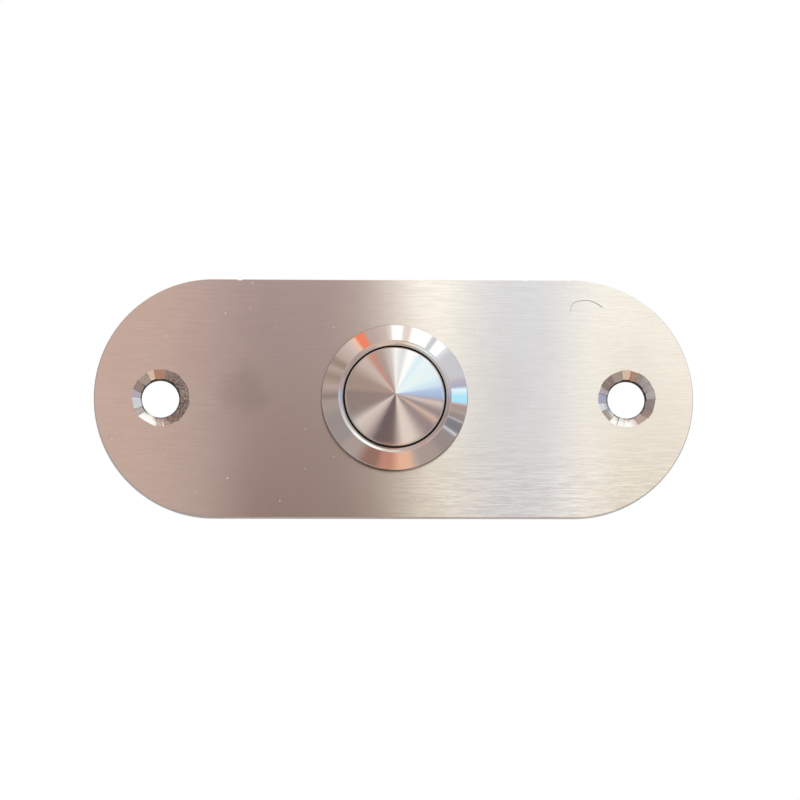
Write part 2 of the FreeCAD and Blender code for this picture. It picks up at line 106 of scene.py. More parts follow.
# Turning: noise cells to the metre across the rings
RING_FINENESS = 9000.0


# Node helpers

def link_in(tree, source, target):
    """Feed a target socket from another socket or a plain value."""
    if isinstance(source, bpy.types.NodeSocket):
        tree.links.new(source, target)
    else:
        target.default_value = source


def math_node(tree, operation, *values, clamp=False):
    node = tree.nodes.new("ShaderNodeMath")
    node.operation = operation
    node.use_clamp = clamp
    for socket, value in zip(node.inputs, values):
        link_in(tree, value, socket)
    return node.outputs[0]


def vector_math(tree, operation, *values):
    node = tree.nodes.new("ShaderNodeVectorMath")
    node.operation = operation
    for socket, value in zip(node.inputs, values):
        link_in(tree, value, socket)
    return node.outputs["Value" if operation in ("DOT_PRODUCT", "LENGTH", "DISTANCE") else "Vector"]


def ranged(tree, value, low, high, out_low=0.0, out_high=1.0, smooth=True):
    """Value taken from one range to another, eased at both ends."""
    node = tree.nodes.new("ShaderNodeMapRange")
    node.interpolation_type = "SMOOTHSTEP" if smooth else "LINEAR"
    for socket, number in zip(node.inputs, (value, low, high, out_low, out_high)):
        link_in(tree, number, socket)
    return node.outputs["Result"]


def scaled(tree, vector, factor):
    """Vector times a number."""
    node = tree.nodes.new("ShaderNodeVectorMath")
    node.operation = "SCALE"
    link_in(tree, vector, node.inputs[0])
    link_in(tree, factor, node.inputs["Scale"])
    return node.outputs["Vector"]


def axes_of(tree, vector):
    """The X, Y and Z of a vector."""
    node = tree.nodes.new("ShaderNodeSeparateXYZ")
    tree.links.new(vector, node.inputs[0])
    return node.outputs


def vector_of(tree, x=0.0, y=0.0, z=0.0):
    """Vector put together from its X, Y and Z."""
    node = tree.nodes.new("ShaderNodeCombineXYZ")
    for socket, value in zip(node.inputs, (x, y, z)):
        link_in(tree, value, socket)
    return node.outputs[0]


def mixed(tree, factor, first, second):
    """Colour mix. The node's colours are its inputs 6 and 7 and its output 2."""
    node = tree.nodes.new("ShaderNodeMix")
    node.data_type = "RGBA"
    link_in(tree, factor, node.inputs["Factor"])
    link_in(tree, first, node.inputs[6])
    link_in(tree, second, node.inputs[7])
    return node.outputs[2]


def noise(tree, vector, scale, detail=2.0, roughness=0.5):
    node = tree.nodes.new("ShaderNodeTexNoise")
    link_in(tree, vector, node.inputs["Vector"])
    node.inputs["Scale"].default_value = scale
    node.inputs["Detail"].default_value = detail
    node.inputs["Roughness"].default_value = roughness
    return node.outputs["Fac"]


def object_place(tree):
    return tree.nodes.new("ShaderNodeTexCoord").outputs["Object"]


def new_group(name, inputs, outputs):
    """Empty shader group with (name, kind, default) inputs and (name, kind) outputs."""
    tree = bpy.data.node_groups.new(name, "ShaderNodeTree")
    for label, kind, value in inputs:
        socket = tree.interface.new_socket(
            name=label, in_out="INPUT", socket_type="NodeSocket" + kind)
        if value is not None:
            socket.default_value = value
    for label, kind in outputs:
        tree.interface.new_socket(name=label, in_out="OUTPUT", socket_type="NodeSocket" + kind)
    given = tree.nodes.new("NodeGroupInput").outputs
    out = tree.nodes.new("NodeGroupOutput").inputs
    return tree, given, out


def use_group(tree, group, **values):
    """The outputs of a shader group that is fed these values."""
    node = tree.nodes.new("ShaderNodeGroup")
    node.node_tree = group
    for label, value in values.items():
        link_in(tree, value, node.inputs[label.replace("_", " ")])
    return node.outputs


# Shared effects

def in_rows(tree, place, row):
    """Place with its height taken down to the row that it lies in."""
    at = axes_of(tree, place)
    return vector_of(tree, at["X"], at["Y"], math_node(tree, "SNAP", at["Z"], row))


def make_brush_lines():
    """Fine straight brushing along X: rows of streaks that run on, broken into lengths."""
    tree, given, out = new_group(
        "brush_lines",
        [("Place", "Vector", None), ("Fineness", "Float", BRUSH_FINENESS),
         ("Run", "Float", BRUSH_RUN)],
        [("Streak", "Float"), ("Height", "Float")])
    place = given["Place"]
    scale = vector_of(tree, given["Run"], given["Run"], given["Fineness"])
    fine_place = vector_math(tree, "MULTIPLY", in_rows(tree, place, FINE_ROW), scale)
    broad_place = vector_math(tree, "MULTIPLY", in_rows(tree, place, BROAD_ROW), scale)
    fine = noise(tree, fine_place, 1.0, 3.0, 0.65)
    broad = noise(tree, broad_place, 0.6, 2.0, 0.6)
    fine_share = math_node(tree, "MULTIPLY", fine, 0.5)
    both = math_node(tree, "ADD", fine_share, math_node(tree, "MULTIPLY", broad, 0.5))
    tree.links.new(ranged(tree, both, 0.35, 0.65), out["Streak"])
    smooth_place = vector_math(tree, "MULTIPLY", place, scale)
    tree.links.new(noise(tree, smooth_place, 1.0, 3.0, 0.65), out["Height"])
    return tree


def make_lathe_marks():
    """Turned face: rings about the depth axis whose walls lean outwards by a changing slope."""
    tree, given, out = new_group(
        "lathe_marks",
        [("Place", "Vector", None), ("Rings", "Float", RING_FINENESS), ("Lean", "Float", 0.0),
         ("Waver", "Float", 0.02)],
        [("Normal", "Vector"), ("Ring", "Float")])
    flat_place = vector_math(tree, "MULTIPLY", given["Place"], (1, 0, 1))
    radius = vector_math(tree, "LENGTH", flat_place)
    outward = vector_math(tree, "NORMALIZE", flat_place)
    ring_place = vector_of(tree, math_node(tree, "MULTIPLY", radius, given["Rings"]))
    ring = noise(tree, ring_place, 1.0, 2.0, 0.6)
    swing = math_node(tree, "MULTIPLY", math_node(tree, "SUBTRACT", ring, 0.5), given["Waver"])
    slope = math_node(tree, "ADD", given["Lean"], swing)
    normal = tree.nodes.new("ShaderNodeNewGeometry").outputs["Normal"]
    leaning = vector_math(tree, "ADD", normal, scaled(tree, outward, slope))
    tree.links.new(vector_math(tree, "NORMALIZE", leaning), out["Normal"])
    tree.links.new(ring, out["Ring"])
    return tree


def make_handling_marks():
    """Soft smudges and small bright specks of several strengths, as handled metal has."""
    tree, given, out = new_group(
        "handling_marks", [("Place", "Vector", None)],
        [("Smudge", "Float"), ("Speck", "Float")])
    cloud = noise(tree, given["Place"], 90.0, 4.0, 0.55)
    tree.links.new(ranged(tree, cloud, 0.48, 0.72), out["Smudge"])
    at = axes_of(tree, given["Place"])
    dots = tree.nodes.new("ShaderNodeTexVoronoi")
    dots.voronoi_dimensions = "2D"
    dots.inputs["Scale"].default_value = 240.0
    tree.links.new(vector_of(tree, at["X"], at["Z"]), dots.inputs["Vector"])
    near_dot = ranged(tree, dots.outputs["Distance"], 0.012, 0.034, 1.0, 0.0)
    chosen = tree.nodes.new("ShaderNodeSeparateColor")
    tree.links.new(dots.outputs["Color"], chosen.inputs[0])
    strength = ranged(tree, chosen.outputs[0], 0.62, 1.0, 0.0, 0.7, smooth=False)
    tree.links.new(math_node(tree, "MULTIPLY", near_dot, strength), out["Speck"])
    return tree


def make_moulded_skin():
    """Fine spark-eroded skin of a moulding, with slow flow shading."""
    tree, given, out = new_group(
        "moulded_skin", [("Place", "Vector", None), ("Grain", "Float", 9000.0)],
        [("Shade", "Float"), ("Height", "Float")])
    grained = scaled(tree, given["Place"], given["Grain"])
    tree.links.new(noise(tree, grained, 1.0, 3.0, 0.6), out["Height"])
    tree.links.new(noise(tree, given["Place"], 260.0, 2.0, 0.5), out["Shade"])
    return tree


brush_lines = make_brush_lines()
lathe_marks = make_lathe_marks()
handling_marks = make_handling_marks()
moulded_skin = make_moulded_skin()


# Materials

def new_material(name):
    """Material with a Principled shader, and its tree, shader and object place."""
    material = bpy.data.materials.new(name)
    material.use_nodes = True
    tree = material.node_tree
    shader = tree.nodes["Principled BSDF"]
    return material, tree, shader, object_place(tree)


def bumped(tree, height, strength, distance):
    """Normal that a height raises."""
    node = tree.nodes.new("ShaderNodeBump")
    node.inputs["Strength"].default_value = strength
    node.inputs["Distance"].default_value = distance
    tree.links.new(height, node.inputs["Height"])
    return node.outputs["Normal"]


def feed(tree, shader, **looks):
    """Feed the shader's named sockets, an underscore standing for a space."""
    for label, look in looks.items():
        tree.links.new(look, shader.inputs[label.replace("_", " ")])


def smudged(tree, place, colour, share, grime):
    """Colour dulled a little where the metal has been handled."""
    marks = use_group(tree, handling_marks, Place=place)
    return mixed(tree, math_node(tree, "MULTIPLY", marks["Smudge"], share), colour, grime)


def brushed_steel():
    """Stainless sheet brushed along its length, slightly smudged near the left hole."""
    material, tree, shader, place = new_material("brushed_steel")
    lines = use_group(tree, brush_lines, Place=place, Fineness=BRUSH_FINENESS, Run=BRUSH_RUN)
    marks = use_group(tree, handling_marks, Place=place)
    # The brushing bites harder towards the right end, and most of all below the button there
    at = axes_of(tree, place)
    low = ranged(tree, at["Z"], -15.0 * MM, -4.0 * MM, 1.0, 0.0)
    rightward = ranged(tree, at["X"], -6.0 * MM, 8.0 * MM)
    bite = ranged(tree, at["X"], -12.0 * MM, 12.0 * MM, 0.175, 0.28)
    bite = math_node(tree, "MULTIPLY_ADD", math_node(tree, "MULTIPLY", low, rightward), 0.72, bite)
    off_middle = math_node(tree, "SUBTRACT", lines["Streak"], 0.5)
    streak = math_node(tree, "MULTIPLY_ADD", off_middle, bite, 0.5)
    colour = mixed(tree, streak, (0.70, 0.676, 0.6575, 1), (0.90, 0.876, 0.8575, 1))
    # The depth counts many times over, so the smudge by the left hole doesn't show on the back
    smudge_place = (-22.6 * MM, plate_front, 1.4 * MM)
    to_smudge = vector_math(tree, "SUBTRACT", place, smudge_place)
    to_smudge = vector_math(tree, "MULTIPLY", to_smudge, (1, 9, 1))
    wander = math_node(tree, "MULTIPLY", noise(tree, place, 300.0, 3.0), 5.0 * MM)
    from_smudge = math_node(tree, "ADD", vector_math(tree, "LENGTH", to_smudge), wander)
    patch = ranged(tree, from_smudge, 4.0 * MM, 7.5 * MM, 0.32, 0.0)
    colour = mixed(tree, patch, colour, (0.50, 0.50, 0.48, 1))
    dulled = math_node(tree, "MULTIPLY", marks["Smudge"], 0.10)
    colour = mixed(tree, dulled, colour, (0.55, 0.52, 0.50, 1))
    colour = mixed(tree, marks["Speck"], colour, (0.95, 0.90, 0.86, 1))
    rough = ranged(tree, lines["Streak"], 0.0, 1.0, 0.17, 0.152, smooth=False)
    feed(tree, shader, Base_Color=colour, Roughness=rough,
         Metallic=math_node(tree, "SUBTRACT", 1.0, marks["Speck"]),
         Normal=bumped(tree, lines["Height"], 0.25, 0.004 * MM))
    shader.inputs["Anisotropic"].default_value = GROOVED
    shader.inputs["Anisotropic Rotation"].default_value = ACROSS_GROOVES
    return material


def turned_steel(name, lean, waver, roughness, centre=ORIGIN):
    """Stainless turned on a lathe, with rings round a centre."""
    material, tree, shader, place = new_material(name)
    centred = vector_math(tree, "SUBTRACT", place, centre)
    marks = use_group(
        tree, lathe_marks, Place=centred, Rings=RING_FINENESS, Lean=lean, Waver=waver)
    colour = mixed(tree, marks["Ring"], (0.74, 0.72, 0.705, 1), (0.88, 0.87, 0.86, 1))
    rough = ranged(tree, marks["Ring"], 0.3, 0.7, roughness * 0.9, roughness * 1.12, smooth=False)
    along_rings = vector_math(tree, "CROSS_PRODUCT", centred, DEPTH_AXIS)
    feed(tree, shader, Base_Color=smudged(tree, place, colour, 0.08, (0.58, 0.55, 0.53, 1)),
         Roughness=rough, Normal=marks["Normal"],
         Tangent=vector_math(tree, "NORMALIZE", along_rings))
    shader.inputs["Metallic"].default_value = 1.0
    shader.inputs["Anisotropic"].default_value = GROOVED
    shader.inputs["Anisotropic Rotation"].default_value = ACROSS_GROOVES
    return material


def plain_metal(name, dark, light, roughness, grain):
    """Metal with a fine mottled finish and handling marks."""
    material, tree, shader, place = new_material(name)
    mottle = noise(tree, place, grain, 3.0, 0.6)
    colour = mixed(tree, ranged(tree, mottle, 0.35, 0.65), dark, light)
    rough = ranged(tree, mottle, 0.3, 0.7, roughness * 0.8, roughness * 1.25, smooth=False)
    feed(tree, shader, Base_Color=smudged(tree, place, colour, 0.2, dark), Roughness=rough,
         Normal=bumped(tree, mottle, 0.2, 0.01 * MM))
    shader.inputs["Metallic"].default_value = 1.0
    return material


def torn_steel():
    """Steel of the countersinks, torn and speckled on the inner side of the left one."""
    material, tree, shader, place = new_material("countersunk_steel")
    mottle = noise(tree, place, 3600.0, 3.0, 0.65)
    cut_mottle = ranged(tree, mottle, 0.35, 0.65)
    cut = mixed(tree, cut_mottle, (0.72, 0.70, 0.68, 1), (0.84, 0.82, 0.80, 1))
    torn_mottle = ranged(tree, mottle, 0.42, 0.62)
    torn = mixed(tree, torn_mottle, (0.40, 0.37, 0.35, 1), (0.86, 0.83, 0.80, 1))
    tear_place = (-31.0 * MM, plate_front + 0.5 * MM, -0.6 * MM)
    from_tear = vector_math(tree, "DISTANCE", place, tear_place)
    colour = mixed(tree, ranged(tree, from_tear, 3.6 * MM, 5.6 * MM, 1.0, 0.0), cut, torn)
    feed(tree, shader, Base_Color=smudged(tree, place, colour, 0.15, (0.6, 0.58, 0.56, 1)),
         Roughness=ranged(tree, mottle, 0.3, 0.7, 0.10, 0.16, smooth=False),
         Normal=bumped(tree, mottle, 0.15, 0.01 * MM))
    shader.inputs["Metallic"].default_value = 1.0
    return material


def moulded(name, colour, roughness, grain):
    """Moulded plastic or rubber with a fine skin."""
    material, tree, shader, place = new_material(name)
    skin = use_group(tree, moulded_skin, Place=place, Grain=grain)
    lighter = tuple(min(1.0, channel * 1.35 + 0.004) for channel in colour[:3]) + (1,)
    rough = ranged(
        tree, skin["Shade"], 0.3, 0.7, roughness * 0.85, roughness * 1.15, smooth=False)
    feed(tree, shader, Base_Color=mixed(tree, skin["Shade"], colour, lighter), Roughness=rough,
         Normal=bumped(tree, skin["Height"], 0.3, 0.012 * MM))
    return material


plate_metal = brushed_steel()
housing_metal = turned_steel("turned_bezel", 0.0, 0.02, 0.11)
# The button's face was turned a little off its middle
button_metal = turned_steel("turned_button", 0.20, 0.05, 0.17, (0.12 * MM, 0, 0.38 * MM))
# Dark steel for the bezel's rim side: painted shade where the bezel meets the plate
rim_shade_metal = plain_metal(
    "rim_painted_shade", (0.14, 0.13, 0.125, 1), (0.24, 0.23, 0.22, 1), 0.35, 2500.0)
sink_metal = torn_steel()
# Near-black steel: painted shade on the drilled walls of the holes, and the dark line of the
# scratch
shade_dark_metal = plain_metal(
    "steel_painted_shade", (0.07, 0.066, 0.063, 1), (0.13, 0.12, 0.115, 1), 0.4, 2500.0)
nut_metal = plain_metal(
    "nut_steel", (0.60, 0.59, 0.57, 1), (0.72, 0.71, 0.69, 1), 0.17, 700.0)
screw_metal = plain_metal(
    "zinc_plate", (0.50, 0.49, 0.44, 1), (0.70, 0.69, 0.64, 1), 0.28, 2200.0)
brass_metal = plain_metal(
    "contact_brass", (0.62, 0.39, 0.13, 1), (0.72, 0.47, 0.17, 1), 0.25, 1800.0)
silver_metal = plain_metal(
    "contact_silver", (0.74, 0.73, 0.70, 1), (0.86, 0.85, 0.82, 1), 0.22, 2500.0)
wire_metal = plain_metal(
    "spring_wire", (0.46, 0.45, 0.44, 1), (0.66, 0.65, 0.64, 1), 0.2, 3000.0)
black_moulding = moulded("black_moulding", (0.018, 0.018, 0.02, 1), 0.42, 9000.0)
white_moulding = moulded("white_moulding", (0.72, 0.71, 0.68, 1), 0.38, 8000.0)
seal_rubber = moulded("seal_rubber", (0.022, 0.021, 0.02, 1), 0.6, 14000.0)


# Mesh helpers

def mesh_of(bm, name):
    """Mesh made from the bmesh, which is freed."""
    mesh = bpy.data.meshes.new(name)
    bm.to_mesh(mesh)
    bm.free()
    return mesh


def in_scene(name, data):
    """Object with this data, put in the scene."""
    holder = bpy.data.objects.new(name, data)
    bpy.context.collection.objects.link(holder)
    return holder


def shaped_mesh(holder):
    """Mesh of an object with its modifiers or bevel applied."""
    shaped = holder.evaluated_get(bpy.context.evaluated_depsgraph_get())
    return bpy.data.meshes.new_from_object(shaped)


def finished(bm, name, materials, body, nodes, sharp_angle=40.0):
    """Object made from the bmesh: shaded smooth but for its sharp edges, on its body."""
    bmesh.ops.remove_doubles(bm, verts=bm.verts, dist=SAME_PLACE)
    bmesh.ops.recalc_face_normals(bm, faces=bm.faces)
    for face in bm.faces:
        face.smooth = True
    limit = math.radians(sharp_angle)
    for edge in bm.edges:
        edge.smooth = len(edge.link_faces) == 2 and edge.calc_face_angle() < limit
    mesh = mesh_of(bm, name)
    for material in materials:
        mesh.materials.append(material)
    piece = in_scene(name, mesh)
    weigh = piece.modifiers.new("even_normals", "WEIGHTED_NORMAL")
    weigh.keep_sharp = True
    kept = shaped_mesh(piece)
    piece.modifiers.clear()
    piece.data = kept
    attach(piece, body)
    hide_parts(*nodes)
    return piece


def outline_of(bm, corners, closed):
    """Edges through (radius, depth, rounding) corners, each rounded by its own amount."""
    points = [bm.verts.new((radius, depth, 0)) for radius, depth, _ in corners]
    ends = list(zip(points, points[1:]))
    if closed:
        ends.append((points[-1], points[0]))
    for start, end in ends:
        bm.edges.new((start, end))
    for point, (_, _, rounding) in zip(points, corners):
        if rounding:
            bmesh.ops.bevel(bm, geom=[point], offset=rounding, offset_type="OFFSET",
                            affect="VERTICES", segments=4, profile=0.5, material=-1)


def lathe(corners, closed=True, steps=160):
    """Shape turned about the depth axis."""
    bm = bmesh.new()
    outline_of(bm, corners, closed)
    bmesh.ops.spin(bm, geom=bm.verts[:] + bm.edges[:], cent=ORIGIN, axis=DEPTH_AXIS,
                   angle=2 * math.pi, steps=steps, use_merge=True)
    bmesh.ops.remove_doubles(bm, verts=bm.verts, dist=SAME_PLACE)
    return bm


# Face plate

# Place, half width and depth of the small nicks in the top edge, and how far back they run
TOP_NICKS = [(-23.0 * MM, 0.5 * MM, 0.13 * MM), (19.9 * MM, 0.4 * MM, 0.08 * MM),
             (26.5 * MM, 0.4 * MM, 0.07 * MM)]
NICK_DEPTH = 1.1 * MM
# The countersinks, cut in facets down to a drilled wall coloured near black as painted shade: the
# angles at which one facet ends and the next begins, round from the right
LEFT_FACETS = [-19, -6, 7, 20, 33, 46, 61, 78, 104, 120, 141, 163, 180, 203, 219, 261, 276, 291,
               305, 318, 330, 341]
RIGHT_FACETS = [0, 20, 35, 50, 67, 80, 100, 123, 138, 153, 168, 190, 207, 232, 248, 263, 278, 293,
                316, 334, 360]
RIM_FLATNESS = 0.6
FLOOR_FLATNESS = 1.0
FACET_STEP = 0.05 * MM
SINK_FLOOR_R = SCREW_HOLE_R + 0.2 * MM
SINK_FLOOR_DEPTH = 1.02 * MM
SINK_FINISH = 1
# Material slot of the holes' drilled walls, which carries painted shade
HOLE_WALL_SHADE = 2


def facet_radius(radius, angle, facets, flatness):
    """Radius at an angle of a ring cut in facets by a chattering tool, each a step in or out."""
    degrees = (math.degrees(angle) - facets[0]) % 360 + facets[0]
    facet = sum(1 for start in facets[1:-1] if degrees >= start)
    half_width = math.radians(facets[facet + 1] - facets[facet]) / 2
    across = math.radians(degrees) - math.radians(facets[facet]) - half_width
    flat = math.cos(half_width * 0.6) / math.cos(across)
    # An uneven row of steps that never repeats
    step = FACET_STEP * math.sin(2.4 * facet + facets[-1])
    return (radius + step) * (1 + flatness * (flat - 1))


def hole_ring(bm, x, y, radius, steps, facets=None):
    """Ring of edges round a hole, faceted where its facets are given."""
    made = bmesh.ops.create_circle(bm, segments=steps, radius=radius)["verts"]
    bmesh.ops.rotate(bm, verts=made, cent=ORIGIN, matrix=Matrix.Rotation(math.pi / 2, 3, "X"))
    if facets:
        for vert in made:
            angle = math.atan2(vert.co.z, vert.co.x)
            vert.co *= facet_radius(radius, angle, facets, RIM_FLATNESS) / radius
    bmesh.ops.translate(bm, verts=made, vec=(x, y, 0))
    return made


def rim_edges(verts):
    """Edges that join the vertices of a ring."""
    chosen = set(verts)
    return list({edge for vert in verts for edge in vert.link_edges
                 if edge.other_vert(vert) in chosen})


def extruded_ring(bm, edges, move, finish=0):
    """Next ring of a wall: the edges are extruded and each new vertex is moved."""
    made = bmesh.ops.extrude_edge_only(bm, edges=edges)["geom"]
    verts = {item for item in made if isinstance(item, bmesh.types.BMVert)}
    for vert in verts:
        move(vert)
    for item in made:
        if isinstance(item, bmesh.types.BMFace):
            item.material_index = finish
    return [item for item in made
            if isinstance(item, bmesh.types.BMEdge) and set(item.verts) <= verts]


def stadium_ring(bm, y, inset, steps=64):
    """Round-ended outline at a depth, inset from the plate's edge."""
    radius = plate_end_r - inset
    ends = []
    for side in (1, -1):
        first = bm.verts.new((side * plate_straight, y, side * radius))
        made = bmesh.ops.spin(bm, geom=[first], cent=(side * plate_straight, y, 0), axis=DEPTH_AXIS,
                              angle=math.pi, steps=steps)
        last = [item for item in made["geom_last"] if isinstance(item, bmesh.types.BMVert)][0]
        ends.append((first, last))
    bm.edges.new((ends[0][1], ends[1][0]))
    top = bm.edges.new((ends[1][1], ends[0][0]))
    cuts = round(2 * plate_straight / (0.15 * MM))
    nicked = bmesh.ops.subdivide_edges(bm, edges=[top], cuts=cuts)["geom_inner"]
    for vert in nicked:
        if isinstance(vert, bmesh.types.BMVert):
            vert.co.z -= sum(deep * max(0.0, 1 - abs(vert.co.x - x) / half)
                             for x, half, deep in TOP_NICKS)


def outset(vert, distance):
    """Move a vertex of the outline straight out from the plate's middle line."""
    middle = Vector((max(-plate_straight, min(plate_straight, vert.co.x)), vert.co.y, 0))
    away = vert.co - middle
    vert.co += away.normalized() * distance


def make_face_plate():
    """Plate with a rounded front edge, the barrel's hole and two faceted countersinks."""
    bm = bmesh.new()
    stadium_ring(bm, plate_front, PLATE_EDGE_ROUND)
    outer = bm.edges[:]
    barrel_ring = rim_edges(hole_ring(bm, 0, plate_front, BARREL_HOLE_R, 96))
    sinks = [(-FIXING_X, LEFT_FACETS), (FIXING_X, RIGHT_FACETS)]
    sink_rings = [rim_edges(hole_ring(bm, x, plate_front, COUNTERSINK_R, 360, facets))
                  for x, facets in sinks]
    bmesh.ops.triangle_fill(bm, use_beauty=True, edges=bm.edges[:])

    # The rounded front edge, then the side
    edges = outer
    roll_steps = 8
    for step in range(roll_steps):
        start = math.pi / 2 * step / roll_steps
        end = math.pi / 2 * (step + 1) / roll_steps
        out = PLATE_EDGE_ROUND * (math.sin(end) - math.sin(start))
        back = PLATE_EDGE_ROUND * (math.cos(start) - math.cos(end))

        def roll(vert, out=out, back=back):
            outset(vert, out)
            vert.co.y += back
        edges = extruded_ring(bm, edges, roll)

    def past_nicks(vert):
        vert.co.y = plate_front + NICK_DEPTH
        if vert.co.z > 0 and abs(vert.co.x) < plate_straight:
            vert.co.z = plate_end_r

    def to_back(vert):
        vert.co.y = plate_back
    back_rings = extruded_ring(bm, extruded_ring(bm, edges, past_nicks), to_back)
    back_rings += extruded_ring(bm, barrel_ring, to_back)

    # The countersinks: facets from the stepped rim, then the drilled wall that narrows to the hole,
    # coloured near black as painted shade
    for (x, facets), ring in zip(sinks, sink_rings):
        def to_floor(vert, x=x, facets=facets):
            angle = math.atan2(vert.co.z, vert.co.x - x)
            radius = facet_radius(SINK_FLOOR_R, angle, facets, FLOOR_FLATNESS)
            away = Vector((math.cos(angle), 0, math.sin(angle))) * radius
            vert.co = Vector((x, plate_front + SINK_FLOOR_DEPTH, 0)) + away

        def to_hole(vert, x=x):
            away = Vector((vert.co.x - x, 0, vert.co.z)).normalized() * SCREW_HOLE_R
            vert.co = Vector((x, plate_front + COUNTERSINK_DEPTH, 0)) + away
        floor = extruded_ring(bm, ring, to_floor, SINK_FINISH)
        hole = extruded_ring(bm, floor, to_hole, HOLE_WALL_SHADE)
        back_rings += extruded_ring(bm, hole, to_back, HOLE_WALL_SHADE)
    bmesh.ops.triangle_fill(bm, use_beauty=True, edges=back_rings)
    metals = [plate_metal, sink_metal, shade_dark_metal]
    # The countersinks' facets meet at slight angles, so edges count as sharp from few degrees
    return finished(bm, "brushed_plate", metals, "housing", ["face_plate"], 12.0)


def make_scratch():
    """Fine curled scratch near the right end, its burr standing a hair's breadth proud."""
    points = [(31.4, 13.9), (30.1, 14.9), (28.6, 15.0), (27.2, 14.7), (26.7, 14.1), (26.6, 13.3),
              (26.7, 12.5)]
    curve = bpy.data.curves.new("curled_scratch", "CURVE")
    curve.dimensions = "3D"
    curve.bevel_depth = 0.055 * MM
    curve.bevel_resolution = 2
    curve.use_fill_caps = True
    spline = curve.splines.new("NURBS")
    spline.points.add(len(points) - 1)
    for point, (x, z) in zip(spline.points, points):
        point.co = (x * MM, plate_front + 0.02 * MM, z * MM, 1)
    for place, point in enumerate(spline.points):
        point.radius = 1.0 - 0.75 * place / len(points)
    spline.order_u = 4
    spline.use_endpoint_u = True
    holder = in_scene("curled_scratch_line", curve)
    mesh = shaped_mesh(holder)
    bpy.data.objects.remove(holder)
    mesh.materials.clear()
    # The scratch takes the near-black steel, a painted shade line
    mesh.materials.append(shade_dark_metal)
    scratch = in_scene("curled_scratch", mesh)
    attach(scratch, "housing")


# Turned steel

# Material slot of the rim's side, which carries painted shade
RIM_SHADE = 1
# Degrees from which an edge of a turned or moulded piece is sharp
TURNED_SHARP = 32.0


def make_housing():
    """Bezel, flange and barrel in one, the barrel with its thread and rolled rear lip."""
    seat_y = plate_front
    groove_y = seat_y - 0.75 * MM
    groove_r = 10.5 * MM
    rim_y = seat_y - 1.1 * MM
    bore_front_y = crest_y + 0.5 * MM
    stop_y = 1.2 * MM
    shoulder_y = 17.8 * MM
    lip_r = 7.5 * MM
    thread_start_y = 0.6 * MM
    thread_end_y = barrel_end_y - 0.9 * MM
    chamfer = 0.6 * MM
    bm = lathe([
        (BORE_R, bore_front_y, 0.05 * MM),
        (CREST_R, crest_y, 0.06 * MM),
        (rim_r, rim_y, 0.14 * MM),
        (rim_r, seat_y, 0.08 * MM),
        (groove_r, seat_y, 0),
        (groove_r, groove_y, 0),
        (BARREL_R, groove_y, 0),
        (BARREL_R, thread_start_y, 0.03 * MM),
        (THREAD_ROOT_R, thread_start_y + 0.3 * MM, 0),
        (THREAD_ROOT_R, thread_end_y, 0),
        (BARREL_R - chamfer, barrel_end_y - 0.25 * MM, 0.12 * MM),
        (BARREL_R - chamfer - 0.3 * MM, barrel_end_y, 0.12 * MM),
        (lip_r, barrel_end_y, 0.15 * MM),
        (lip_r, shoulder_y, 0),
        (CHAMBER_R, shoulder_y, 0),
        (CHAMBER_R, stop_y, 0),
        (BORE_R, stop_y, 0),
    ])
    add_thread(bm, thread_start_y, thread_end_y)
    # The rim's side takes the dark steel, painted shade where the bezel meets the plate
    for face in bm.faces:
        middle = face.calc_center_median()
        if math.hypot(middle.x, middle.z) > rim_r - 0.05 * MM and middle.y > rim_y:
            face.material_index = RIM_SHADE
    metals = [housing_metal, rim_shade_metal]
    return finished(bm, "bezel_and_barrel", metals, "housing",
                    ["switch_housing"], TURNED_SHARP)


def add_thread(bm, start_y, end_y):
    """Ridge of a fine screw thread wound round the barrel, running out at both ends."""
    steps_per_turn = 72
    turns = (end_y - start_y) / THREAD_PITCH - 1.0
    steps = round(turns * steps_per_turn)
    rise = THREAD_PITCH / steps_per_turn
    sunk_r = THREAD_ROOT_R - 0.03 * MM
    before = set(bm.verts)
    crest_half = THREAD_PITCH * 0.08
    root_half = THREAD_PITCH * 0.46
    corners = [(sunk_r, -root_half), (BARREL_R, -crest_half), (BARREL_R, crest_half),
               (sunk_r, root_half)]
    verts = [bm.verts.new((radius, start_y + root_half + y, 0)) for radius, y in corners]
    edges = [bm.edges.new(pair) for pair in zip(verts, verts[1:])]
    bmesh.ops.spin(bm, geom=verts + edges, cent=ORIGIN, axis=DEPTH_AXIS, dvec=(0, rise, 0),
                   angle=2 * math.pi * turns, steps=steps)
    bare_end = THREAD_PITCH * 0.62
    run_out = THREAD_PITCH * 0.8
    for vert in set(bm.verts) - before:
        near_end = min(vert.co.y - start_y, end_y - vert.co.y)
        radius = math.hypot(vert.co.x, vert.co.z)
        if radius > sunk_r + 0.01 * MM:
            full = max(0.0, min(1.0, (near_end - bare_end) / run_out))
            wanted = sunk_r + (BARREL_R - sunk_r) * full
            vert.co.x *= wanted / radius
            vert.co.z *= wanted / radius


